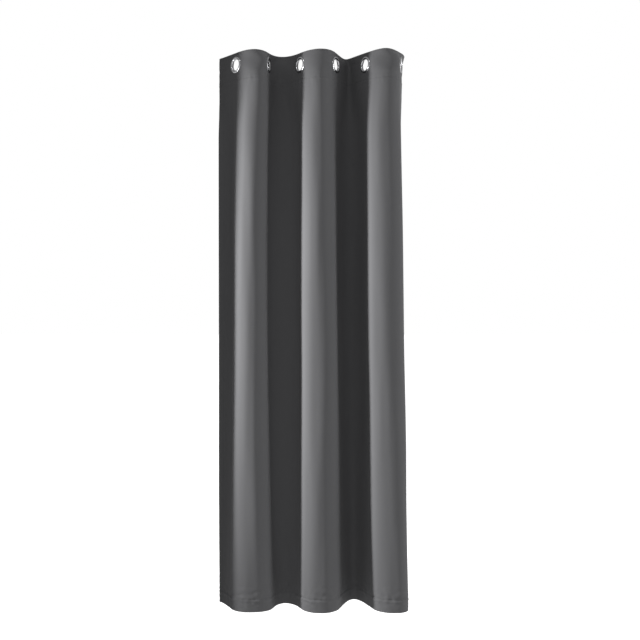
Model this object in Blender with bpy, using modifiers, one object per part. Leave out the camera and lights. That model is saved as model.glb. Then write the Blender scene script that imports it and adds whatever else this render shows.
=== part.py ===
"""Fabric room curtain panel with six eyelets, hanging in three soft folds.

The panel is one length of blackout cloth, turned over a stiffener at the top and hemmed
at the sides and foot.  It hangs on a pole through its eyelets and works as a concertina:
the cloth bends at upright lines on the crests and in the valleys, so each flank between
two such lines is a body of its own, with one eyelet in its header.

Metres, +Z up.  The origin is on the pole's axis, midway between the first and the last
eyelet.  The room is towards -Y, and flat distances along the cloth are called s.
"""

from math import cos, pi, radians, sin

import bmesh
import bpy
from mathutils import Matrix, Vector

# ---- driving dimensions --------------------------------------------------------------
FLAT_WIDTH = 1.168
DROP = 2.134                  # finished length, top edge to foot
TOP_ABOVE_EYELET = 0.046
HEADER_DEPTH = 0.110
FOOT_HEM = 0.052
SIDE_HEM = 0.026

CLOTH = 0.0008
STIFFENER = 0.0008
GAP = 0.0003                  # kept between pieces that touch
HEM_SPACE = 0.0004            # between the two layers of a hem

# where the cloth crosses the pole's line, and how steeply, in degrees
EYELET_X = (-0.318, -0.191, -0.0714, 0.068, 0.179, 0.317)
FLANK_ANGLE = (48, 82, 56, 62, 58, 78)
OUTER_EDGE_ANGLE = 10
INNER_EDGE_ANGLE = 86
FLAT_BY_EYELET = 0.032        # each way: the metal keeps the cloth flat here

EYELET_BORE = 0.0200          # radii
EYELET_STEM = 0.0210
EYELET_RIM = 0.0310
EYELET_DOME = 0.0032          # how far a ring stands off the cloth

FOLD_CLEARANCE = 0.0010       # left free each side of a fold line
FLANK_COLUMNS = 14
FOLD_STEPS = 3                # facets around the turn of a hem or of the header
RING_STEPS = 24
CUTTER_SIDES = 32

# ---- worked out from them --------------------------------------------------------------
EYELETS = len(EYELET_X)
PITCH = FLAT_WIDTH / EYELETS
EYELET_S = [PITCH * (i + 0.5) for i in range(EYELETS)]
TOP_Z = TOP_ABOVE_EYELET
FOOT_Z = TOP_Z - DROP
HEADER_BACK = -(CLOTH + STIFFENER + 2 * GAP)  # middle of the turned-over header layer
HEM_BACK = -(CLOTH + HEM_SPACE)               # middle of a hem's turned-back layer
FOLD_DEPTH = HEADER_BACK / 2                  # fold lines run in the header's middle
FACE = CLOTH / 2
HEADER_REAR = HEADER_BACK - CLOTH / 2


# ---- the folded line of the cloth, seen from above ----------------------------------------
def bezier(start, handle_a, handle_b, end, steps=48):
    """Points along a cubic curve."""
    points = []
    for i in range(steps + 1):
        t = i / steps
        near = start * (1 - t) ** 3 + handle_a * 3 * t * (1 - t) ** 2
        far = handle_b * 3 * (1 - t) * t ** 2 + end * t ** 3
        points.append(near + far)
    return points


def steps_between(start, end, count):
    return [start + (end - start) * i / count for i in range(count + 1)]


def length_of(points):
    return sum((q - p).length for p, q in zip(points, points[1:]))


def fold_of_length(start, start_way, end, end_way, length):
    """The smooth curve between two points that uses up a given length of cloth."""
    low, high = 0.001, 0.300
    for _ in range(40):
        reach = (low + high) / 2
        points = bezier(start, start + start_way * reach, end - end_way * reach, end)
        if length_of(points) < length:
            low = reach
        else:
            high = reach
    return points


def way(angle, side):
    """Direction along the cloth, at an angle to the pole; side -1 comes forward, 1 goes back."""
    return Vector((cos(radians(angle)), side * sin(radians(angle))))


def edge_arc(end, angle, edge_angle, length, steps=16):
    """An even bend from a side edge to a point on the first flank, as points."""
    points = [end]
    for i in range(steps):
        here = angle + (edge_angle - angle) * (i + 0.5) / steps
        points.append(points[-1] - way(here, -1) * (length / steps))
    return points[::-1]


def folded_line():
    """The whole line from the outer edge to the inner edge."""
    ways = [way(angle, -1 if i % 2 == 0 else 1) for i, angle in enumerate(FLANK_ANGLE)]
    centres = [Vector((x, 0)) for x in EYELET_X]
    margin = PITCH / 2 - FLAT_BY_EYELET
    first = centres[0] - ways[0] * FLAT_BY_EYELET
    line = edge_arc(first, FLANK_ANGLE[0], OUTER_EDGE_ANGLE, margin)
    for i in range(EYELETS - 1):
        leave = centres[i] + ways[i] * FLAT_BY_EYELET
        arrive = centres[i + 1] - ways[i + 1] * FLAT_BY_EYELET
        length = PITCH - 2 * FLAT_BY_EYELET
        line += fold_of_length(leave, ways[i], arrive, ways[i + 1], length)
    last = centres[-1] + ways[-1] * FLAT_BY_EYELET
    return line + [last, last + way(INNER_EDGE_ANGLE, 1) * margin]


class FoldedLine:
    """Places and directions at any distance s along the folded cloth."""

    def __init__(self, points):
        self.points = points
        self.reached = [0.0]
        for p, q in zip(points, points[1:]):
            self.reached.append(self.reached[-1] + (q - p).length)

    def point(self, s):
        for i in range(1, len(self.points)):
            span = self.reached[i] - self.reached[i - 1]
            if self.reached[i] >= s and span > 1e-9:
                t = max(0.0, (s - self.reached[i - 1]) / span)
                return self.points[i - 1].lerp(self.points[i], t)
        return self.points[-1]

    def direction(self, s):
        step = 0.001
        return (self.point(s + step) - self.point(s - step)).normalized()

    def place(self, s, out, z):
        """World place at s, moved out from the cloth towards the room, at height z."""
        p = self.point(s)
        d = self.direction(s)
        return Vector((p.x + d.y * out, p.y - d.x * out, z))

    def turning_point(self, start, end, side):
        """The s between two eyelets where the cloth comes furthest forward (-1) or back (1)."""
        steps = 200
        choices = [start + (end - start) * i / steps for i in range(steps + 1)]
        return max(choices, key=lambda s: side * self.point(s).y)


LINE = FoldedLine(folded_line())
FOLD_S = [SIDE_HEM + 2 * FOLD_CLEARANCE]
for index in range(EYELETS - 1):
    turn = LINE.turning_point(EYELET_S[index], EYELET_S[index + 1], -1 if index % 2 == 0 else 1)
    FOLD_S.append(turn)
INNER_HEM_S = FLAT_WIDTH - SIDE_HEM


# ---- helpers ---------------------------------------------------------------------------
def collection(name):
    group = bpy.data.collections.new(name)
    bpy.context.scene.collection.children.link(group)
    return group


def material(name, colour, roughness, metallic=0.0):
    mat = bpy.data.materials.new(name)
    mat.use_nodes = True
    shader = mat.node_tree.nodes["Principled BSDF"]
    shader.inputs["Base Color"].default_value = (*colour, 1.0)
    shader.inputs["Roughness"].default_value = roughness
    shader.inputs["Metallic"].default_value = metallic
    mat.diffuse_color = (*colour, 1.0)
    return mat


def add_object(name, mesh, mat, group, pivot=None):
    """Put a mesh, given in world places, under a pivot without moving it."""
    if pivot is not None:
        mesh.transform(Matrix.Translation(-pivot.matrix_world.translation))
    obj = bpy.data.objects.new(name, mesh)
    group.objects.link(obj)
    obj.parent = pivot
    if mat is not None:
        mesh.materials.append(mat)
    return obj


def folded_sheet(name, columns, rows, place):
    """A flat grid of cloth whose points are moved to where the folded cloth holds them.

    columns and rows are lists; place(column, row) gives the world place of a crossing.
    """
    bm = bmesh.new()
    bmesh.ops.create_grid(bm, x_segments=len(columns) - 1, y_segments=len(rows) - 1, size=1)
    for vert in bm.verts:
        i = round((vert.co.x + 1) / 2 * (len(columns) - 1))
        j = round((vert.co.y + 1) / 2 * (len(rows) - 1))
        vert.co = place(columns[i], rows[j])
    bmesh.ops.recalc_face_normals(bm, faces=bm.faces)
    mesh = bpy.data.meshes.new(name)
    bm.to_mesh(mesh)
    bm.free()
    return mesh


def thicken(obj, thickness):
    solid = obj.modifiers.new("thickness", "SOLIDIFY")
    solid.thickness = thickness
    solid.offset = 0.0
    solid.use_even_offset = True


def u_turn(back):
    """(out, inset) points round a fold from the back layer to the face; inset is from the edge."""
    radius = -back / 2
    turn = []
    for i in range(FOLD_STEPS + 1):
        angle = pi * i / FOLD_STEPS
        inset = CLOTH / 2 + radius * (1 - sin(angle))
        turn.append((back / 2 - radius * cos(angle), inset))
    return turn


def flank_columns(start, end, centre):
    """Distances s across a flank: close together where it bends, one flat stretch at the eyelet."""
    half = FLANK_COLUMNS // 2
    before = steps_between(start, centre - FLAT_BY_EYELET, half)
    after = steps_between(centre + FLAT_BY_EYELET, end, half)
    return before + after


# ---- pieces ----------------------------------------------------------------------------
def face_cloth(number, columns, mats, group, pivot):
    """One flank of the cloth: turned over at the top, turned up at the foot."""
    rows = [(HEADER_BACK, TOP_Z - HEADER_DEPTH)]
    rows += [(out, TOP_Z - inset) for out, inset in u_turn(HEADER_BACK)]
    rows += [(0.0, z) for z in steps_between(TOP_Z - HEADER_DEPTH, FOOT_Z + FOOT_HEM, 3)]
    rows += [(out, FOOT_Z + inset) for out, inset in u_turn(HEM_BACK)[::-1]]
    rows += [(HEM_BACK, FOOT_Z + FOOT_HEM)]
    name = f"face_cloth_{number}"
    mesh = folded_sheet(name, columns, rows, lambda s, row: LINE.place(s, row[0], row[1]))
    obj = add_object(name, mesh, mats["face_cloth"], group, pivot)
    thicken(obj, CLOTH)
    return obj


def header_stiffener(number, columns, mats, group, pivot):
    """The stiff woven band inside the header, one length to each flank."""
    top = TOP_Z - CLOTH - GAP - CLOTH
    rows = [TOP_Z - HEADER_DEPTH, top]
    name = f"header_stiffener_{number}"
    mesh = folded_sheet(name, columns, rows, lambda s, z: LINE.place(s, FOLD_DEPTH, z))
    obj = add_object(name, mesh, mats["stiffener"], group, pivot)
    thicken(obj, STIFFENER)
    return obj


def side_hem(name, edge, inside, mats, group, pivot):
    """The turned-back strip of cloth down one side edge, full length."""
    inward = 1 if inside > edge else -1
    turn = [(out, edge + inward * inset) for out, inset in u_turn(HEM_BACK)]
    layers = [(HEM_BACK, inside)] + turn + [(0.0, inside)]
    mesh = folded_sheet(name, layers, [FOOT_Z, TOP_Z], lambda at, z: LINE.place(at[1], at[0], z))
    obj = add_object(name, mesh, mats["side_hem"], group, pivot)
    thicken(obj, CLOTH)
    return obj


def turned_piece(name, profile, frame, mat, group, pivot):
    """A ring turned from an (r, height) profile about the eyelet's axis."""
    mesh = bpy.data.meshes.new(name)
    edges = [(i, (i + 1) % len(profile)) for i in range(len(profile))]
    mesh.from_pydata([(r, 0.0, h) for r, h in profile], edges, [])
    obj = bpy.data.objects.new(name, mesh)
    group.objects.link(obj)
    obj.parent = pivot
    obj.matrix_local = Matrix.Translation(-pivot.matrix_world.translation) @ frame
    screw = obj.modifiers.new("turn", "SCREW")
    screw.steps = RING_STEPS
    screw.render_steps = RING_STEPS
    screw.use_merge_vertices = True
    screw.merge_threshold = 0.00001
    mesh.materials.append(mat)
    mesh.shade_smooth()
    mesh.set_sharp_from_angle(angle=radians(35))
    return obj


def eyelet_frame(s):
    """Placement with its Z along the eyelet's axis, out of the cloth's face."""
    d = LINE.direction(s)
    outward = Vector((d.y, -d.x, 0.0))
    along = Vector((d.x, d.y, 0.0))
    frame = Matrix((along, outward.cross(along), outward)).transposed().to_4x4()
    frame.translation = LINE.place(s, 0.0, 0.0)
    return frame


def front_ring(number, frame, mats, group, pivot):
    """Domed face ring with the stem that passes through every layer of the header."""
    seat = FACE + GAP
    crown = seat + EYELET_DOME
    stem_end = HEADER_REAR - GAP - EYELET_DOME
    profile = [
        (EYELET_BORE + 0.0022, crown - 0.0003),
        (EYELET_BORE + 0.0055, crown),
        (EYELET_RIM - 0.0022, crown - 0.0010),
        (EYELET_RIM, seat + 0.0010),
        (EYELET_RIM, seat),
        (EYELET_STEM, seat),
        (EYELET_STEM, stem_end),
        (EYELET_BORE, stem_end),
        (EYELET_BORE, crown - 0.0018),
    ]
    return turned_piece(f"eyelet_front_{number}", profile, frame, mats["eyelet"], group, pivot)


def back_ring(number, frame, mats, group, pivot):
    """Ring that snaps over the stem behind the header."""
    seat = HEADER_REAR - GAP
    crown = seat - EYELET_DOME
    inside = EYELET_STEM + GAP
    profile = [
        (inside, seat),
        (EYELET_RIM, seat),
        (EYELET_RIM, seat - 0.0010),
        (EYELET_RIM - 0.0022, crown + 0.0010),
        (inside + 0.0035, crown),
        (inside, crown + 0.0008),
    ]
    return turned_piece(f"eyelet_back_{number}", profile, frame, mats["eyelet_back"], group, pivot)


def punch(pieces, frame, group, pivot):
    """Cut the eyelet's hole through layers of the header."""
    bm = bmesh.new()
    radius = EYELET_STEM + GAP
    bmesh.ops.create_cone(bm, cap_ends=True, segments=CUTTER_SIDES, radius1=radius,
                          radius2=radius, depth=0.02)
    mesh = bpy.data.meshes.new("eyelet_cutter")
    bm.to_mesh(mesh)
    bm.free()
    mesh.transform(frame)
    cutter = add_object("eyelet_cutter", mesh, None, group, pivot)
    cutter.hide_render = True
    cutter.display_type = "WIRE"
    for piece in pieces:
        cut = piece.modifiers.new("eyelet_hole", "BOOLEAN")
        cut.operation = "DIFFERENCE"
        cut.solver = "EXACT"
        cut.object = cutter


def add_pivot(name, s, parent, group):
    """An empty on a fold line, which the flank beyond it turns about."""
    pivot = bpy.data.objects.new(name, None)
    pivot.empty_display_size = 0.05
    group.objects.link(pivot)
    place = LINE.place(s, FOLD_DEPTH, 0.0)
    if parent is not None:
        pivot.parent = parent
        pivot.location = place - parent.matrix_world.translation
    else:
        pivot.location = place
    bpy.context.view_layer.update()
    return pivot


# ---- assembly --------------------------------------------------------------------------
def build():
    for obj in list(bpy.data.objects):
        bpy.data.objects.remove(obj, do_unlink=True)

    panel = collection("curtain_panel")
    cutters = collection("cutters")
    mats = {
        "face_cloth": material("face_cloth", (0.085, 0.085, 0.087), 0.85),
        "side_hem": material("side_hem", (0.080, 0.080, 0.082), 0.85),
        "stiffener": material("stiffener", (0.72, 0.71, 0.68), 0.9),
        "eyelet": material("eyelet", (0.62, 0.61, 0.60), 0.22, 1.0),
        "eyelet_back": material("eyelet_back", (0.58, 0.57, 0.56), 0.28, 1.0),
    }

    outer_end = add_pivot("outer_end_anchor", 0.0, None, panel)
    side_hem("outer_side_hem", 0.0, FOLD_S[0] - FOLD_CLEARANCE, mats, panel, outer_end)

    pivot = outer_end
    for i in range(EYELETS):
        number = i + 1
        is_last = number == EYELETS
        start = FOLD_S[i] + FOLD_CLEARANCE
        end = INNER_HEM_S - GAP if is_last else FOLD_S[i + 1] - FOLD_CLEARANCE
        pivot = add_pivot(f"flank_{number}_pivot", FOLD_S[i], pivot, panel)
        columns = flank_columns(start, end, EYELET_S[i])
        cloth = face_cloth(number, columns, mats, panel, pivot)
        band = header_stiffener(number, columns, mats, panel, pivot)
        frame = eyelet_frame(EYELET_S[i])
        punch([cloth, band], frame, cutters, pivot)
        front_ring(number, frame, mats, panel, pivot)
        back_ring(number, frame, mats, panel, pivot)
    side_hem("inner_side_hem", FLAT_WIDTH, INNER_HEM_S, mats, panel, pivot)


build()
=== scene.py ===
"""Fabric room curtain panel: the cloth with its hems, stitching and metal eyelets.

The cloth hangs in seven pieces that meet along the middle of each flank, where it is
straight: one for each crest and valley, and one for the inner end.  Distances along the
flat cloth are called s; a row runs from the bottom of the turned-over header, over the
top edge, down the face, round the foot and up the hem.  Metres, +Z up, the room towards -Y.
"""

from math import cos, pi, radians, sin

import bmesh
import bpy
import numpy as np
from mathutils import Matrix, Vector, noise


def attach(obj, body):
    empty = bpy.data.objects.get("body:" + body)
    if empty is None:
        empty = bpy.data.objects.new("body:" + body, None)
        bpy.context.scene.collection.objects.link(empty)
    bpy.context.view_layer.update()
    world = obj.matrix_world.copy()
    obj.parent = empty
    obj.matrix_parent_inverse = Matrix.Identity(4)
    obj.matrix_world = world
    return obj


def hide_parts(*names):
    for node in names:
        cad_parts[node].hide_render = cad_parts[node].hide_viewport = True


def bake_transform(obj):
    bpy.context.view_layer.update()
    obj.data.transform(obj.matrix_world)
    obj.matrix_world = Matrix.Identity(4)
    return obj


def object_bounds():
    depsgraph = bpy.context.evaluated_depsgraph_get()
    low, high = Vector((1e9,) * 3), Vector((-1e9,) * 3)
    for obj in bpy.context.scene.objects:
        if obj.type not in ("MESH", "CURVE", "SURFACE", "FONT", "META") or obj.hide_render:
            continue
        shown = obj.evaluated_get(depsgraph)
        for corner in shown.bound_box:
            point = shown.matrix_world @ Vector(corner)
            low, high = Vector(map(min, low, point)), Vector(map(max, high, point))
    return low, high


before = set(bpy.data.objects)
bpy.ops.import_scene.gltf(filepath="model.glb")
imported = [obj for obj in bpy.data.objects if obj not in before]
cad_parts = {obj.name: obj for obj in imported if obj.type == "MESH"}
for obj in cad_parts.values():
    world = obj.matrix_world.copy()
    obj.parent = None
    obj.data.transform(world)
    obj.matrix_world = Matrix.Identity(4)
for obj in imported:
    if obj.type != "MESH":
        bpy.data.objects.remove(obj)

CAD_LOW, CAD_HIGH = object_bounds()

# ---- sizes -----------------------------------------------------------------------------
FLAT_WIDTH = 1.168
TOP_Z = CAD_HIGH.z
FOOT_Z = CAD_LOW.z
CLOTH = 0.0005                # thickness
HEADER_DEPTH = 0.110
HEADER_THICK = 0.0022         # middle of the face to the middle of the turned-over layer
FOOT_HEM = 0.052
HEM_THICK = 0.0018
SIDE_HEM = 0.025
SIDE_THICK = 0.0007
TUCK = 0.009                  # raw edge folded under inside a hem
TUCK_BEND = 0.0006            # height of the tuck's bend
TUCK_GAP = 0.0002             # between the tuck and the layer behind it
EDGE_INSET = 0.001            # of the last flat column before a side edge

HEADER_SEAM_Z = TOP_Z - HEADER_DEPTH + 0.005
FOOT_SEAM_Z = FOOT_Z + FOOT_HEM - 0.004
EDGE_SEAM_Z = TOP_Z - 0.0055  # stitching just under the top edge
SIDE_SEAM_S = SIDE_HEM - 0.004

EYELETS = 6
PITCH = FLAT_WIDTH / EYELETS
EYELET_S = [PITCH * (i + 0.5) for i in range(EYELETS)]
EYELET_HOLE = 0.0220          # radii: the hole in the cloth, and the ring's rim
RIM = 0.0310
FLAT_AT_EYELET = 0.033        # straight cloth each side of an eyelet's middle
FLAT_BELOW = 0.008            # and each side of a flank's middle above and below it

# ---- how the folds hang --------------------------------------------------------------------
# X where each flank crosses the pole's line: just under the header, half way down, at the foot
FLANK_X = (
    (-0.3170, -0.3260, -0.3370),
    (-0.1880, -0.1950, -0.1750),
    (-0.0660, -0.0680, -0.0720),
    (0.0640, 0.0720, 0.0820),
    (0.1810, 0.1880, 0.2080),
    (0.3145, 0.3300, 0.3430),
)
# degrees from the pole's line, at the same three heights
FLANK_ANGLE = (
    (66, 76, 62),
    (86, 86, 66),
    (76, 80, 62),
    (76, 80, 70),
    (76, 80, 66),
    (84, 88, 88),
)
TOP_ANGLE = (50, 68, 54, 70, 52, 60)          # at the top edge
TOP_EASE_Z = 0.014                            # where it starts to give way to TOP_ANGLE
INNER_EDGE_ANGLE = (106, 94, 92)               # at the top edge, in the header, below it
OUTER_EDGE_X = -0.3905                         # the outer edge hangs plumb
# length of cloth from one eyelet's line to the next, as a share of the even spacing:
# at the top edge, at the header seam and at the foot
TOP_SHARE = (0.90, 0.86, 1.0, 1.08, 1.03)
HEADER_SHARE = (0.96, 0.95, 1.0, 1.03, 1.03)
FOOT_SHARE = (1.01, 0.80, 1.02, 1.23, 0.99)
OUTER_MARGIN = (0.110, 0.097, 0.088)           # outer edge to the first flank: header to foot
EASE_Z = (HEADER_SEAM_Z, HEADER_SEAM_Z - 0.22)  # the header's shape gives way to the body's

# ---- how finely the cloth is divided ---------------------------------------------------------
COLUMNS = 46                  # across a crest or a valley
END_COLUMNS = 26              # across an end piece
TURN_STEPS = 6                # round a fold of the cloth
FINE_ROW = 0.0032             # near the hems and in the header
BODY_ROW = 0.020
HOLE_REACH = 0.0021           # grid points this near a hole's edge are drawn onto it


# ---- reading the frame ------------------------------------------------------------------------
def eyelet_place(number):
    """Middle of an eyelet on the pole's line, and its axis out of the cloth, from its CAD ring."""
    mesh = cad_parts[f"eyelet_front_{number}"].data
    points = np.array([v.co for v in mesh.vertices])
    middle = points.mean(axis=0)
    widest = np.linalg.svd(points[:, :2] - middle[:2], full_matrices=False)[2][0]
    axis = np.array([widest[1], -widest[0], 0.0])
    if axis[1] > 0:
        axis = -axis
    return middle - axis * (middle[1] / axis[1]), axis


EYELET_PLACES = [eyelet_place(number) for number in range(1, EYELETS + 1)]
HEADER_X = [float(place[0]) for place, _ in EYELET_PLACES]
HEADER_ANGLE = [float(np.degrees(np.arctan2(abs(axis[0]), -axis[1]))) for _, axis in EYELET_PLACES]


# ---- the folded line at every height ---------------------------------------------------------
def smooth(low, high, value):
    t = np.clip((value - low) / (high - low), 0, 1)
    return t * t * (3 - 2 * t)


def eased(header, body, z):
    """header's value in the header, body's below the ease."""
    share = smooth(EASE_Z[0], EASE_Z[1], z)
    return header * (1 - share) + body * share


def down_share(z):
    """0 at the header seam, 1 at the foot."""
    return np.clip((HEADER_SEAM_Z - z) / (HEADER_SEAM_Z - FOOT_Z), 0, 1)


def three_heights(top, middle, foot, z):
    """An even curve through values under the header, half way down and at the foot."""
    t = down_share(z)
    return top * (1 - t) * (1 - 2 * t) + middle * 4 * t * (1 - t) + foot * t * (2 * t - 1)


def flank_x(i, z):
    """X where flank i crosses the pole's line at each height."""
    return eased(HEADER_X[i], three_heights(*FLANK_X[i], z), z)


def at_top(header, top, z):
    """header's value beside the eyelets, and top's at the top edge."""
    share = smooth(TOP_EASE_Z, TOP_Z, z)
    return header * (1 - share) + top * share


def flank_way(i, z):
    """Direction of the cloth along s at the middle of flank i, at each height."""
    header = at_top(HEADER_ANGLE[i], TOP_ANGLE[i], z)
    angle = np.radians(eased(header, three_heights(*FLANK_ANGLE[i], z), z))
    side = -1 if i % 2 == 0 else 1
    return np.stack([np.cos(angle), side * np.sin(angle)], axis=-1)


def flat_length(z):
    """Length of straight cloth on each side of a flank's middle."""
    beside = np.sqrt(np.clip(FLAT_AT_EYELET ** 2 - z ** 2, 0, None))
    return np.maximum(beside, FLAT_BELOW)


def bezier(a, b, c, d, steps=64):
    """Curves through steps + 1 points, one for each row of the four control points."""
    t = np.linspace(0, 1, steps + 1)[None, :, None]
    a, b, c, d = (p[:, None, :] for p in (a, b, c, d))
    return (1 - t) ** 3 * a + 3 * t * (1 - t) ** 2 * b + 3 * (1 - t) * t ** 2 * c + t ** 3 * d


def lengths(lines):
    return np.linalg.norm(np.diff(lines, axis=1), axis=2).sum(axis=1)


def crossing(i, z):
    """Plan places of the middle of flank i."""
    return np.stack([flank_x(i, z), np.zeros_like(z)], axis=-1)


def fold_lines(i, z):
    """Lines from the middle of flank i to the middle of flank i + 1, one for each height."""
    start, end = crossing(i, z), crossing(i + 1, z)
    leave_way, arrive_way = flank_way(i, z), flank_way(i + 1, z)
    flat = flat_length(z)[:, None]
    leave, arrive = start + leave_way * flat, end - arrive_way * flat
    share = HEADER_SHARE[i] + (FOOT_SHARE[i] - HEADER_SHARE[i]) * down_share(z)
    up_header = np.clip((z - HEADER_SEAM_Z) / (TOP_Z - HEADER_SEAM_Z), 0, 1)
    share += (TOP_SHARE[i] - HEADER_SHARE[i]) * up_header
    wanted = PITCH * share - 2 * flat[:, 0]
    low, high = np.full(len(z), 0.001), np.full(len(z), 0.300)
    for _ in range(40):
        reach = (low + high) / 2
        handle = reach[:, None]
        lines = bezier(leave, leave + leave_way * handle, arrive - arrive_way * handle, arrive)
        short = lengths(lines) < wanted
        low, high = np.where(short, reach, low), np.where(short, high, reach)
    return np.concatenate([start[:, None], lines, end[:, None]], axis=1)


def bend_away(start, way_out, first_angle, last_angle, length, side, steps=40):
    """Lines that leave a flank and turn evenly from one angle to the other."""
    points = [start]
    for j in range(steps):
        t = (j + 0.5) / steps
        here = np.radians(first_angle * (1 - t) + last_angle * t)
        step = np.stack([np.cos(here), side * np.sin(here)], axis=-1) * way_out
        points.append(points[-1] + step * (length / steps)[:, None])
    return np.stack(points, axis=1)


def outer_lines(z):
    """From the outer edge to the middle of the first flank; the bend brings the edge plumb."""
    start = crossing(0, z)
    flat = flat_length(z)
    way = flank_way(0, z)
    leave = start - way * flat[:, None]
    flank_angle = np.degrees(np.arctan2(-way[:, 1], way[:, 0]))
    header, middle, foot = OUTER_MARGIN
    length = eased(header, three_heights(middle, middle, foot, z), z) - flat
    low, high = np.full(len(z), -60.0), np.full(len(z), 89.0)
    for _ in range(30):
        edge_angle = (low + high) / 2
        bend = bend_away(leave, -1, flank_angle, edge_angle, length, -1)
        wide = bend[:, -1, 0] < OUTER_EDGE_X
        low, high = np.where(wide, edge_angle, low), np.where(wide, high, edge_angle)
    return np.concatenate([start[:, None], bend], axis=1)[:, ::-1]


def inner_lines(z):
    """From the middle of the last flank to the inner edge."""
    start = crossing(EYELETS - 1, z)
    flat = flat_length(z)
    way = flank_way(EYELETS - 1, z)
    leave = start + way * flat[:, None]
    flank_angle = np.degrees(np.arctan2(way[:, 1], way[:, 0]))
    top, header, body = INNER_EDGE_ANGLE
    edge_angle = eased(at_top(header, top, z), body, z)
    bend = bend_away(leave, 1, flank_angle, edge_angle, PITCH / 2 - flat, 1)
    return np.concatenate([start[:, None], bend], axis=1)


PIECE_NAMES = ("outer_valley", "crest_1", "valley_1", "crest_2", "valley_2", "crest_3", "inner_end")
PIECE_EDGES = [0.0, *EYELET_S, FLAT_WIDTH]


def piece_span(i):
    """The s at the two sides of piece i."""
    return PIECE_EDGES[i], PIECE_EDGES[i + 1]


def piece_lines(i, z):
    """The plan line of piece i at each height, in order of s."""
    if i == 0:
        return outer_lines(z)
    if i == EYELETS:
        return inner_lines(z)
    return fold_lines(i - 1, z)


# ---- small shapes of the cloth ----------------------------------------------------------------
NOISE_GAIN = 1.6              # brings the noise to about -1 to 1
SEED_STEP = 7.31


def wander(s, z, across, along, seed):
    """Smooth noise from about -1 to 1; across and along are the sizes of its features."""
    flat = zip(s.ravel(), z.ravel())
    values = [noise.noise(Vector((a / across, b / along, seed * SEED_STEP))) for a, b in flat]
    return np.array(values).reshape(s.shape) * NOISE_GAIN


def clear_of_eyelets(s, z):
    """0 where an eyelet holds the cloth flat, 1 away from it."""
    clear = np.ones_like(s)
    for middle in EYELET_S:
        clear = np.minimum(clear, smooth(RIM + 0.001, RIM + 0.022, np.hypot(s - middle, z)))
    return clear


def relief(s, z):
    """How far the cloth stands out from its smooth fold, towards the room."""
    # long soft folds in the body of the cloth
    in_body = 1 - smooth(HEADER_SEAM_Z - 0.12, HEADER_SEAM_Z + 0.02, z)
    out = 0.0022 * in_body * wander(s, z, 0.075, 0.60, 1)
    out = out + 0.0008 * in_body * wander(s, z, 0.028, 0.34, 2)
    # puckers that hang from the header seam, and those on both sides of the foot seam
    below = np.exp(-np.abs(z - HEADER_SEAM_Z) / np.where(z < HEADER_SEAM_Z, 0.030, 0.008))
    out = out + 0.0010 * below * wander(s, z, 0.011, 0.050, 3)
    near_foot = np.exp(-np.abs(z - FOOT_SEAM_Z) / np.where(z > FOOT_SEAM_Z, 0.034, 0.030))
    out = out + 0.0015 * near_foot * wander(s, z, 0.020, 0.016, 4)
    out = out + 0.0008 * near_foot * wander(s, z, 0.008, 0.012, 5)
    # each seam pulls a groove, and the cloth swells just under it
    for seam, deep in ((HEADER_SEAM_Z, 0.0011), (FOOT_SEAM_Z, 0.0016), (EDGE_SEAM_Z, 0.0006)):
        out = out - deep * np.exp(-((z - seam) / 0.0022) ** 2)
        out = out + deep * 0.6 * np.exp(-((z - seam + 0.0060) / 0.0040) ** 2) * (z < 0)
    # the side seams' grooves, and the uneven side edges
    for edge in (0.0, FLAT_WIDTH):
        inset = np.abs(s - edge)
        out = out - 0.0004 * np.exp(-((inset - SIDE_SEAM_S) / 0.0020) ** 2)
        out = out + 0.0007 * np.exp(-inset / 0.020) * wander(s, z, 0.020, 0.016, 6)
    return out * clear_of_eyelets(s, z)


class Surface:
    """Places on piece i: at a share u of its width, moved out by n, at height z."""

    def __init__(self, i, heights):
        self.i = i
        self.heights = np.unique(np.round(heights, 6))
        lines = piece_lines(i, self.heights)
        self.spots = np.linspace(0, 1, 257)
        self.table = np.empty((len(self.heights), len(self.spots), 2))
        for row, line in enumerate(lines):
            steps = np.linalg.norm(np.diff(line, axis=0), axis=1)
            reached = np.concatenate([[0], np.cumsum(steps)])
            reached /= reached[-1]
            for axis in range(2):
                self.table[row, :, axis] = np.interp(self.spots, reached, line[:, axis])
        self.ways = np.gradient(self.table, axis=1)
        self.ways /= np.linalg.norm(self.ways, axis=2, keepdims=True)

    def s(self, u):
        start, end = piece_span(self.i)
        return start + (end - start) * u

    def at(self, u, n, z):
        """u, n and z are arrays of one shape; the result has a last axis of x, y, z."""
        level = np.interp(z, self.heights, np.arange(len(self.heights)))
        row = np.minimum(level.astype(int), len(self.heights) - 2)
        up = level - row
        column = np.clip(u, 0, 1) * (len(self.spots) - 1)
        col = np.minimum(column.astype(int), len(self.spots) - 2)
        along = column - col

        def read(grid):
            low = grid[row, col] * (1 - along)[..., None] + grid[row, col + 1] * along[..., None]
            high = (grid[row + 1, col] * (1 - along)[..., None]
                    + grid[row + 1, col + 1] * along[..., None])
            return low * (1 - up)[..., None] + high * up[..., None]

        place, way = read(self.table), read(self.ways)
        way /= np.linalg.norm(way, axis=-1, keepdims=True)
        out = n + relief(self.s(u), z)
        x = place[..., 0] + way[..., 1] * out
        y = place[..., 1] - way[..., 0] * out
        return np.stack([x, y, z], axis=-1)


HEIGHTS = np.concatenate([
    np.linspace(TOP_Z + 0.002, EASE_Z[1], 60),
    np.linspace(EASE_Z[1], FOOT_Z - 0.002, 60),
])
SURFACES = [Surface(i, HEIGHTS) for i in range(EYELETS + 1)]


# ---- meshes --------------------------------------------------------------------------------
def grid_faces(rows, columns):
    """Quads of a grid whose points are stored row by row."""
    corner = (np.arange(rows - 1)[:, None] * columns + np.arange(columns - 1)[None, :]).ravel()
    return np.stack([corner, corner + 1, corner + columns + 1, corner + columns], axis=1)


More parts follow.
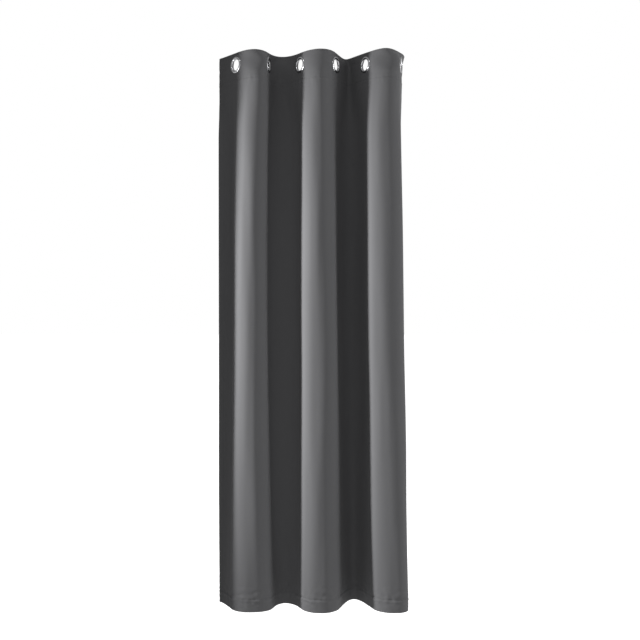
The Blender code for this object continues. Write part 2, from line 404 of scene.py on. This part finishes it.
def new_mesh(name, points, faces):
    """A mesh of the points that its faces use, and which points those are."""
    used, compact = np.unique(faces, return_inverse=True)
    mesh = bpy.data.meshes.new(name)
    mesh.from_pydata(points[used].tolist(), [], compact.reshape(faces.shape).tolist())
    mesh.validate()
    return mesh, used


def add_piece(name, mesh, mat):
    obj = bpy.data.objects.new(name, mesh)
    bpy.context.scene.collection.objects.link(obj)
    mesh.materials.append(mat)
    return obj


def lay_cloth_map(mesh, flat):
    """A UV map in metres of flat cloth, which the weave follows."""
    layer = mesh.uv_layers.new(name="flat_cloth")
    index = np.empty(len(mesh.loops), int)
    mesh.loops.foreach_get("vertex_index", index)
    layer.uv.foreach_set("vector", flat[index].astype(np.float32).ravel())


def thicken(obj, thickness):
    """Give a sheet its thickness and keep the result as its mesh."""
    solid = obj.modifiers.new("thickness", "SOLIDIFY")
    solid.thickness = thickness
    solid.offset = 0.0
    graph = bpy.context.evaluated_depsgraph_get()
    done = bpy.data.meshes.new_from_object(obj.evaluated_get(graph))
    obj.modifiers.clear()
    old = obj.data
    obj.data = done
    bpy.data.meshes.remove(old)
    done.name = obj.name
    done.shade_smooth()
    done.set_sharp_from_angle(angle=radians(50))


# ---- the cloth's way over the top and round the foot -------------------------------------------
def half_turn(depth, edge_z, up):
    """(n, z, back) round a fold of the given depth; back is the way to the cloth's rear side."""
    radius = depth / 2
    centre = edge_z - up * (radius + CLOTH / 2)
    turn = []
    for i in range(TURN_STEPS + 1):
        angle = pi * i / TURN_STEPS
        turn.append((-radius + radius * cos(angle), centre + up * radius * sin(angle),
                     (-cos(angle), -up * sin(angle))))
    return turn


def cloth_rows():
    """(n, z, back) for each row, from the tuck in the header to the tuck in the foot hem."""
    header_foot = TOP_Z - HEADER_DEPTH
    header_turn = half_turn(HEADER_THICK, TOP_Z, 1)
    foot_turn = half_turn(HEM_THICK, FOOT_Z, -1)
    to_front, to_back = (-1.0, 0.0), (1.0, 0.0)
    tuck_n = -HEADER_THICK + CLOTH + TUCK_GAP
    rows = [(tuck_n, header_foot + TUCK, to_front)]
    rows.append((tuck_n, header_foot + TUCK_BEND, to_front))
    rows.append(((tuck_n - HEADER_THICK) / 2, header_foot, (0.0, 1.0)))
    rows.append((-HEADER_THICK, header_foot + TUCK_BEND, to_back))
    for z in stretch(header_foot + 0.003, header_turn[0][1], FINE_ROW)[:-1]:
        rows.append((-HEADER_THICK, z, to_back))
    rows += header_turn[::-1]
    face_top = header_turn[0][1]
    dense_top, dense_foot = HEADER_SEAM_Z - 0.05, FOOT_SEAM_Z + 0.06
    for z in stretch(face_top, dense_top, FINE_ROW)[1:]:
        rows.append((0.0, z, to_front))
    for z in stretch(dense_top, dense_foot, BODY_ROW)[1:]:
        rows.append((0.0, z, to_front))
    for z in stretch(dense_foot, foot_turn[0][1], FINE_ROW)[1:-1]:
        rows.append((0.0, z, to_front))
    rows += foot_turn
    hem_top = FOOT_Z + FOOT_HEM
    for z in stretch(foot_turn[-1][1], hem_top - TUCK_BEND, FINE_ROW)[1:]:
        rows.append((-HEM_THICK, z, to_back))
    tuck_n = -HEM_THICK + CLOTH + TUCK_GAP
    rows.append(((tuck_n - HEM_THICK) / 2, hem_top, (0.0, -1.0)))
    rows.append((tuck_n, hem_top - TUCK_BEND, to_front))
    rows.append((tuck_n, hem_top - TUCK, to_front))
    return rows


def stretch(start, end, step):
    """Even values from start to end, about a step apart."""
    count = max(1, round(abs(end - start) / step))
    return np.linspace(start, end, count + 1)


def side_turn():
    """(inset, rear) columns round a side edge, from the turned-back layer to the face."""
    radius = SIDE_THICK / 2
    columns = [(inset, SIDE_THICK) for inset in stretch(SIDE_HEM, EDGE_INSET, 0.004)]
    for i in range(1, TURN_STEPS):
        angle = pi * i / TURN_STEPS
        inset = CLOTH / 2 + radius * (1 - sin(angle))
        columns.append((inset, radius + radius * cos(angle)))
    return columns


def cloth_columns(i):
    """(u, rear) for each column; the end pieces wrap round their side edge."""
    if i == 0:
        span = EYELET_S[0]
        wrap = [(inset / span, rear) for inset, rear in side_turn()]
        return wrap + [(u, 0.0) for u in np.linspace(EDGE_INSET / span, 1, END_COLUMNS)]
    if i == EYELETS:
        span = FLAT_WIDTH - EYELET_S[-1]
        wrap = [(1 - inset / span, rear) for inset, rear in side_turn()]
        return [(u, 0.0) for u in np.linspace(0, 1 - EDGE_INSET / span, END_COLUMNS)] + wrap[::-1]
    return [(u, 0.0) for u in np.linspace(0, 1, COLUMNS)]


def round_the_holes(s, z):
    """Draw a grid's nearest points onto each eyelet hole's edge; also says what is inside."""
    inside = np.zeros(s.shape, bool)
    for middle in EYELET_S:
        away = np.hypot(s - middle, z)
        near = (away > EYELET_HOLE - HOLE_REACH) & (away < EYELET_HOLE + HOLE_REACH)
        scale = np.where(near, EYELET_HOLE / np.maximum(away, 1e-6), 1.0)
        on_edge = near & (np.abs(s - middle) < 1e-6)
        s = np.where(near, middle + (s - middle) * scale, s)
        z = np.where(on_edge, np.sign(z) * EYELET_HOLE, np.where(near, z * scale, z))
        inside |= np.hypot(s - middle, z) < EYELET_HOLE - 1e-5
    return s, z, inside


def build_cloth(i, mat):
    """Piece i of the cloth, from the tuck in its header to the tuck in its foot hem."""
    rows, columns = cloth_rows(), cloth_columns(i)
    n, z = np.array([r[0] for r in rows]), np.array([r[1] for r in rows])
    back = np.array([r[2] for r in rows])
    u, rear = np.array([c[0] for c in columns]), np.array([c[1] for c in columns])
    surface = SURFACES[i]
    grid_z = z[:, None] + back[:, 1:2] * rear[None, :]
    grid_n = n[:, None] + back[:, 0:1] * rear[None, :]
    grid_u = np.broadcast_to(u[None, :], grid_z.shape)
    start, end = piece_span(i)
    grid_s = start + (end - start) * grid_u
    moved_s, moved_z, inside = round_the_holes(grid_s, grid_z)
    grid_u = (moved_s - start) / (end - start)
    points = surface.at(grid_u, grid_n, moved_z)
    run = np.concatenate([[0], np.cumsum(np.hypot(np.diff(n), np.diff(z)))])
    flat = np.stack([moved_s, np.broadcast_to(run[:, None], moved_s.shape)], axis=-1)
    faces = grid_faces(len(rows), len(columns))
    hole = inside.ravel()[faces].any(axis=1)
    mesh, used = new_mesh(f"cloth_{PIECE_NAMES[i]}", points.reshape(-1, 3), faces[~hole])
    obj = add_piece(mesh.name, mesh, mat)
    lay_cloth_map(mesh, flat.reshape(-1, 2)[used])
    thicken(obj, CLOTH)
    return obj


# the CAD bodies: the outer end's, then one for each flank
BODIES = ["outer_end"] + [f"flank_{k}" for k in range(1, EYELETS + 1)]


def hang(obj, i):
    """The inner end hangs from the last flank's body; the other pieces stay where they are built."""
    if i == EYELETS:
        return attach(obj, BODIES[i])
    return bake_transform(obj)


# ---- eyelets -----------------------------------------------------------------------------------
RING_SEGMENTS = 72
# (radius, height above the face cloth): over the dome, down the stem and back under the rim
FRONT_RING = (
    (0.0310, 0.0003), (0.0310, 0.0009), (0.0306, 0.0015), (0.0297, 0.0022), (0.0284, 0.0028),
    (0.0268, 0.0032), (0.0252, 0.0032), (0.0237, 0.0028), (0.0223, 0.0019), (0.0213, 0.0006),
    (0.0207, -0.0012), (0.0205, -0.0034), (0.0207, -0.0052), (0.0213, -0.0060),
    (0.0219, -0.0058), (0.0216, -0.0040), (0.0216, -0.0004), (0.0230, 0.0003), (0.0302, 0.0003),
)
BACK_RING = (
    (0.0300, -0.0026), (0.0301, -0.0032), (0.0296, -0.0038), (0.0282, -0.0044),
    (0.0262, -0.0047), (0.0242, -0.0046), (0.0226, -0.0040), (0.0221, -0.0034),
    (0.0222, -0.0027), (0.0236, -0.0026),
)


def turned_ring(name, profile, number, mat):
    """A profile turned about an eyelet's axis, where its CAD ring is."""
    middle, axis = EYELET_PLACES[number - 1]
    out = Vector(axis)
    up = Vector((0, 0, 1))
    across = up.cross(out).normalized()
    points, faces, count = [], [], len(profile)
    for i in range(RING_SEGMENTS):
        angle = 2 * pi * i / RING_SEGMENTS
        spoke = across * cos(angle) + up * sin(angle)
        for radius, height in profile:
            points.append(Vector(middle) + spoke * radius + out * height)
        for j in range(count):
            k, m = (j + 1) % count, (i + 1) % RING_SEGMENTS
            faces.append((i * count + j, m * count + j, m * count + k, i * count + k))
    mesh = bpy.data.meshes.new(name)
    mesh.from_pydata(points, [], faces)
    obj = add_piece(name, mesh, mat)
    fix_normals(obj)
    mesh.shade_smooth()
    mesh.set_sharp_from_angle(angle=radians(40))
    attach(obj, BODIES[number])
    return obj


def fix_normals(obj):
    mesh = bmesh.new()
    mesh.from_mesh(obj.data)
    bmesh.ops.recalc_face_normals(mesh, faces=mesh.faces)
    mesh.to_mesh(obj.data)
    mesh.free()


# ---- stiffener inside the header -----------------------------------------------------------------
STIFFENER = 0.0008
STIFFENER_GAP = 0.0025        # short of the seam below and the fold above


def build_stiffener(i, mat):
    """The stiff band between the two layers of the header, one length for each fold."""
    edges = piece_span(i)
    ends = [max(edges[0], SIDE_HEM + 0.002), min(edges[1], FLAT_WIDTH - SIDE_HEM - 0.002)]
    s = np.linspace(ends[0], ends[1], max(10, round((ends[1] - ends[0]) / 0.0042)))
    z = stretch(TOP_Z - STIFFENER_GAP, HEADER_SEAM_Z + STIFFENER_GAP, 0.0032)
    grid_s, grid_z = np.broadcast_to(s, (len(z), len(s))), np.repeat(z[:, None], len(s), 1)
    grid_s, grid_z, inside = round_the_holes(grid_s, grid_z)
    share = (grid_s - edges[0]) / (edges[1] - edges[0])
    points = SURFACES[i].at(share, np.full(share.shape, -HEADER_THICK / 2), grid_z)
    faces = grid_faces(len(z), len(s))
    hole = inside.ravel()[faces].any(axis=1)
    mesh, used = new_mesh(f"stiffener_{PIECE_NAMES[i]}", points.reshape(-1, 3), faces[~hole])
    obj = add_piece(mesh.name, mesh, mat)
    flat = np.stack([grid_s, grid_z], axis=-1)
    lay_cloth_map(mesh, flat.reshape(-1, 2)[used])
    thicken(obj, STIFFENER)
    return obj


# ---- stitching -------------------------------------------------------------------------------------
STITCH = 0.0031               # length of one stitch
STITCH_PITCH = 0.0038
THREAD = 0.00026              # radius of the thread
THREAD_SIDES = 6
STITCH_FORM = ((-0.5, 0.35), (-0.40, 0.9), (0.0, 1.0), (0.40, 0.9), (0.5, 0.35))


def stitch_run(start, end):
    """Middles of the stitches along a seam from start to end."""
    count = int((end - start) / STITCH_PITCH)
    return start + STITCH_PITCH * (np.arange(count) + 0.5)


def seams(i):
    """(s, z, n, runs along s) of every stitch on piece i."""
    front, rear = CLOTH / 2 + THREAD * 0.3, -CLOTH / 2 - THREAD * 0.3
    low, high = piece_span(i)
    across = stitch_run(0.003, FLAT_WIDTH - 0.003)
    across = across[(across >= low) & (across < high)]
    found = []
    layers = ((EDGE_SEAM_Z, -HEADER_THICK), (HEADER_SEAM_Z, -HEADER_THICK))
    for z, layer in (*layers, (FOOT_SEAM_Z, -HEM_THICK)):
        for n in (front, layer + rear):
            found += [(s, z, n, True) for s in across]
    sides = {0: SIDE_SEAM_S, EYELETS: FLAT_WIDTH - SIDE_SEAM_S}
    if i in sides:
        s = sides[i]
        for z in stitch_run(FOOT_Z + 0.004, TOP_Z - 0.004):
            layer = -SIDE_THICK
            if z > TOP_Z - HEADER_DEPTH:
                layer = -HEADER_THICK
            elif z < FOOT_Z + FOOT_HEM:
                layer = -HEM_THICK
            found += [(s, z, front, False), (s, z, layer + rear, False)]
    return found


def build_stitching(i, mat):
    """All the stitches on one piece of cloth, each a short bent length of thread."""
    found = seams(i)
    low, high = piece_span(i)
    s, z, n = (np.array([row[k] for row in found])[:, None, None] for k in range(3))
    sideways = np.array([row[3] for row in found])[:, None, None]
    form = np.array(STITCH_FORM)
    along = (form[:, 0] * STITCH)[None, :, None]
    radius = (form[:, 1] * THREAD)[None, :, None]
    turn = (np.arange(THREAD_SIDES) * 2 * pi / THREAD_SIDES)[None, None, :]
    aside, out = radius * np.cos(turn), radius * np.sin(turn)
    all_s = s + np.where(sideways, along + 0 * aside, aside + 0 * along)
    all_z = z + np.where(sideways, aside + 0 * along, along + 0 * aside)
    share = np.clip((all_s - low) / (high - low), 0, 1)
    points = SURFACES[i].at(share, n + out + 0 * along, all_z)
    faces, rings = [], len(form)
    for stitch in range(len(found)):
        base = stitch * rings * THREAD_SIDES
        faces.append([base + k for k in range(THREAD_SIDES)])
        faces.append([base + (rings - 1) * THREAD_SIDES + k for k in range(THREAD_SIDES)][::-1])
        for ring in range(rings - 1):
            for k in range(THREAD_SIDES):
                a, b = base + ring * THREAD_SIDES + k, base + ring * THREAD_SIDES
                b += (k + 1) % THREAD_SIDES
                faces.append((a, b, b + THREAD_SIDES, a + THREAD_SIDES))
    mesh = bpy.data.meshes.new(f"stitching_{PIECE_NAMES[i]}")
    mesh.from_pydata(points.reshape(-1, 3).tolist(), [], faces)
    obj = add_piece(mesh.name, mesh, mat)
    fix_normals(obj)
    mesh.shade_smooth()
    return obj


# ---- materials ---------------------------------------------------------------------------------
CLOTH_COLOUR = (0.076, 0.076, 0.079)
# the thread is partly its own dark colour and partly painted shade: it is darker than the cloth so
# the seams show as dark lines
THREAD_AND_SEAM_SHADE_COLOUR = (0.030, 0.030, 0.032)
BUCKRAM_COLOUR = (0.62, 0.61, 0.57)
NICKEL_COLOUR = (0.38, 0.38, 0.39)


def plain_material(name, colour, roughness, metallic=0.0):
    mat = bpy.data.materials.new(name)
    mat.use_nodes = True
    shader = mat.node_tree.nodes["Principled BSDF"]
    shader.inputs["Base Color"].default_value = (*colour, 1)
    shader.inputs["Roughness"].default_value = roughness
    shader.inputs["Metallic"].default_value = metallic
    return mat


def woven_material(name, colour, variation, threads_per_metre, relief_depth):
    """Close plain weave with a faintly uneven dye; the threads follow the flat cloth's map."""
    mat = plain_material(name, colour, 0.82)
    nodes, links = mat.node_tree.nodes, mat.node_tree.links
    shader = nodes["Principled BSDF"]
    shader.inputs["Sheen Weight"].default_value = 0.06
    shader.inputs["Sheen Roughness"].default_value = 0.45
    shader.inputs["Specular IOR Level"].default_value = 0.25
    flat = nodes.new("ShaderNodeUVMap")
    flat.uv_map = "flat_cloth"

    def stretched(scale):
        mapping = nodes.new("ShaderNodeMapping")
        mapping.inputs["Scale"].default_value = scale
        links.new(flat.outputs["UV"], mapping.inputs["Vector"])
        return mapping.outputs["Vector"]

    def speckle(scale, detail):
        texture = nodes.new("ShaderNodeTexNoise")
        texture.inputs["Scale"].default_value = 1.0
        texture.inputs["Detail"].default_value = detail
        links.new(stretched(scale), texture.inputs["Vector"])
        return texture.outputs["Fac"]

    def maths(operation, first, second):
        node = nodes.new("ShaderNodeMath")
        node.operation = operation
        for socket, value in zip(node.inputs, (first, second)):
            if hasattr(value, "links"):
                links.new(value, socket)
            else:
                socket.default_value = value
        return node.outputs[0]

    slubs = maths("ADD", speckle((900, 60, 1), 3), speckle((60, 900, 1), 3))
    blotches = speckle((14, 5, 1), 2)
    tone = maths("ADD", maths("MULTIPLY", slubs, 0.5), maths("MULTIPLY", blotches, 0.5))
    ramp = nodes.new("ShaderNodeValToRGB")
    ramp.color_ramp.elements[0].position = 0.30
    ramp.color_ramp.elements[1].position = 0.70
    ramp.color_ramp.elements[0].color = (*[c * (1 - variation) for c in colour], 1)
    ramp.color_ramp.elements[1].color = (*[c * (1 + variation) for c in colour], 1)
    links.new(tone, ramp.inputs["Fac"])
    links.new(ramp.outputs["Color"], shader.inputs["Base Color"])

    threads = []
    for direction in ("X", "Y"):
        wave = nodes.new("ShaderNodeTexWave")
        wave.bands_direction = direction
        wave.inputs["Scale"].default_value = threads_per_metre * pi / 10
        wave.inputs["Distortion"].default_value = 1.5
        wave.inputs["Detail"].default_value = 1.0
        links.new(flat.outputs["UV"], wave.inputs["Vector"])
        threads.append(wave.outputs["Fac"])
    weave = maths("MULTIPLY", threads[0], threads[1])
    surface = maths("ADD", weave, maths("MULTIPLY", slubs, 0.6))
    bump = nodes.new("ShaderNodeBump")
    bump.inputs["Strength"].default_value = 0.5
    bump.inputs["Distance"].default_value = relief_depth
    links.new(surface, bump.inputs["Height"])
    links.new(bump.outputs["Normal"], shader.inputs["Normal"])
    return mat


def metal_material(name, colour, roughness):
    """Plated metal with a slight unevenness of polish."""
    mat = plain_material(name, colour, roughness, 1.0)
    nodes, links = mat.node_tree.nodes, mat.node_tree.links
    where = nodes.new("ShaderNodeTexCoord")
    texture = nodes.new("ShaderNodeTexNoise")
    texture.inputs["Scale"].default_value = 90
    texture.inputs["Detail"].default_value = 4
    links.new(where.outputs["Object"], texture.inputs["Vector"])
    ramp = nodes.new("ShaderNodeMapRange")
    ramp.inputs["To Min"].default_value = roughness * 0.75
    ramp.inputs["To Max"].default_value = roughness * 1.25
    links.new(texture.outputs["Fac"], ramp.inputs["Value"])
    links.new(ramp.outputs["Result"], nodes["Principled BSDF"].inputs["Roughness"])
    return mat


# ---- the panel -------------------------------------------------------------------------------------
def stands_for(kind, i):
    """The names of one kind on the flanks that piece i lies on, CAD nodes or pieces."""
    return [f"{kind}_{k}" for k in (i, i + 1) if 1 <= k <= EYELETS]


def hang_panel():
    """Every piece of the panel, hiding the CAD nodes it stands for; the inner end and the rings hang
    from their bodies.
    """
    cloth = woven_material("cloth", CLOTH_COLOUR, 0.10, 2000, 0.00006)
    buckram = woven_material("buckram", BUCKRAM_COLOUR, 0.06, 700, 0.00015)
    # the thread material carries painted shade along the seams as well as the thread's own colour
    thread = plain_material("thread", THREAD_AND_SEAM_SHADE_COLOUR, 0.7)
    nickel = metal_material("nickel", NICKEL_COLOUR, 0.24)
    side_hems = {0: "outer_side_hem", EYELETS: "inner_side_hem"}
    for i in range(EYELETS + 1):
        piece = hang(build_cloth(i, cloth), i)
        hems = [side_hems[i]] if i in side_hems else []
        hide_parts(*stands_for("face_cloth", i), *hems)
        stitches = hang(build_stitching(i, thread), i)
        band = hang(build_stiffener(i, buckram), i)
        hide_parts(*stands_for("header_stiffener", i))
    for number in range(1, EYELETS + 1):
        front = turned_ring(f"ring_front_{number}", FRONT_RING, number, nickel)
        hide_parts(f"eyelet_front_{number}")
        back = turned_ring(f"ring_back_{number}", BACK_RING, number, nickel)
        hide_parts(f"eyelet_back_{number}")


# ---- studio ----------------------------------------------------------------------------------------
WORLD_FILL = 0.50             # how bright the world is for everything but the camera
KEY_POWER = 1060              # watts, as are the other lamps' powers
KEY_RADIUS = 0.17
KEY_ANGLE = 12.5              # degrees forward of the panel's plane
KEY_DISTANCE = 2.8
KEY_RISE = 0.55               # above the height that it is aimed at
KEY_AIM_Z = -1.05
KEY_CONE = 60
FILL_POWER = 72
GLINT_POWER = 40
BACK_POWER = 60
FLAG_SIZE = (0.8, 3.2)
FLAG_PLACE = (-0.60, 0.304, -0.95)
FLOOR_GAP = 0.30              # the panel hangs this far above the floor


def aim_lamp(obj, place, target):
    obj.location = place
    obj.rotation_euler = (Vector(target) - Vector(place)).to_track_quat("-Z", "Y").to_euler()


def new_lamp(name, kind, energy, place, target):
    lamp = bpy.data.lights.new(name, kind)
    lamp.energy = energy
    obj = bpy.data.objects.new(name, lamp)
    bpy.context.scene.collection.objects.link(obj)
    aim_lamp(obj, place, target)
    return lamp


def from_left(angle, distance, height, target):
    """A place to the left of target, angle degrees forward of the panel's plane."""
    away = Vector((-cos(radians(angle)), -sin(radians(angle)), 0)) * distance
    return Vector(target) + away + Vector((0, 0, height))


def set_world():
    """A white backdrop for the camera and a softer light on the panel."""
    world = bpy.data.worlds.new("studio")
    bpy.context.scene.world = world
    world.use_nodes = True
    nodes, links = world.node_tree.nodes, world.node_tree.links
    backdrop = nodes["Background"]
    backdrop.inputs["Strength"].default_value = 1.0
    backdrop.inputs["Color"].default_value = (1, 1, 1, 1)
    fill = nodes.new("ShaderNodeBackground")
    fill.inputs["Color"].default_value = (1, 1, 1, 1)
    fill.inputs["Strength"].default_value = WORLD_FILL
    path = nodes.new("ShaderNodeLightPath")
    mix = nodes.new("ShaderNodeMixShader")
    links.new(path.outputs["Is Camera Ray"], mix.inputs["Fac"])
    links.new(fill.outputs["Background"], mix.inputs[1])
    links.new(backdrop.outputs["Background"], mix.inputs[2])
    links.new(mix.outputs["Shader"], nodes["World Output"].inputs["Surface"])


def set_lights():
    """A soft key from the left, a weak fill from the right and a lamp for the back."""
    target = (-0.05, 0.0, KEY_AIM_Z)
    place = from_left(KEY_ANGLE, KEY_DISTANCE, KEY_RISE, target)
    key = new_lamp("key", "SPOT", KEY_POWER, place, target)
    key.shadow_soft_size = KEY_RADIUS
    key.spot_size = radians(KEY_CONE)
    key.spot_blend = 1.0
    fill = new_lamp("fill", "AREA", FILL_POWER, (3.6, -1.05, -0.7), (0.0, 0.0, -0.9))
    fill.shape = "RECTANGLE"
    fill.size = 1.0
    fill.size_y = 2.4
    back = new_lamp("back", "AREA", BACK_POWER, (2.3, 3.2, 0.2), (0.0, 0.0, -0.9))
    back.size = 1.8
    bpy.data.objects["back"].visible_glossy = False
    # a softbox that only the polished eyelets catch
    glint = new_lamp("glint", "AREA", GLINT_POWER, (-1.6, -2.6, 2.4), (0.0, 0.0, 0.0))
    glint.size = 0.9
    bpy.data.objects["glint"].visible_diffuse = False


def flat_panel(name, size, place, turn, mat):
    """A rectangle that isn't part of the object."""
    bpy.ops.mesh.primitive_plane_add(size=1, location=place, rotation=turn)
    obj = bpy.context.object
    obj.name = name
    obj.scale = (*size, 1)
    obj.data.materials.append(mat)
    return obj


def set_stage():
    pale = plain_material("floor", (0.88, 0.88, 0.88), 0.9)
    shader = pale.node_tree.nodes["Principled BSDF"]
    shader.inputs["Emission Color"].default_value = (1, 1, 1, 1)
    shader.inputs["Emission Strength"].default_value = 0.75
    floor = flat_panel("floor", (60, 60), (0, 0, FOOT_Z - FLOOR_GAP), (0, 0, 0), pale)
    floor.visible_diffuse = False
    # a tall black flag at the left keeps the key light off the outer edge
    black = plain_material("flag", (0.01, 0.01, 0.01), 0.9)
    flag = flat_panel("flag", FLAG_SIZE, FLAG_PLACE, (pi / 2, 0, pi / 2), black)
    flag.visible_camera = False
    flag.visible_glossy = False


def set_camera():
    """Level with the middle of the panel, straight in front of it."""
    camera = bpy.data.objects.new("camera", bpy.data.cameras.new("camera"))
    bpy.context.scene.collection.objects.link(camera)
    camera.data.sensor_width = 36.0
    camera.data.lens = 48.3
    camera.data.shift_y = -0.0375
    camera.location = (0.006, -3.3, -0.888)
    camera.rotation_euler = (radians(90), 0, 0)
    bpy.context.scene.camera = camera
    bpy.context.scene.view_settings.view_transform = "Standard"


hang_panel()
set_world()
set_lights()
set_stage()
set_camera()
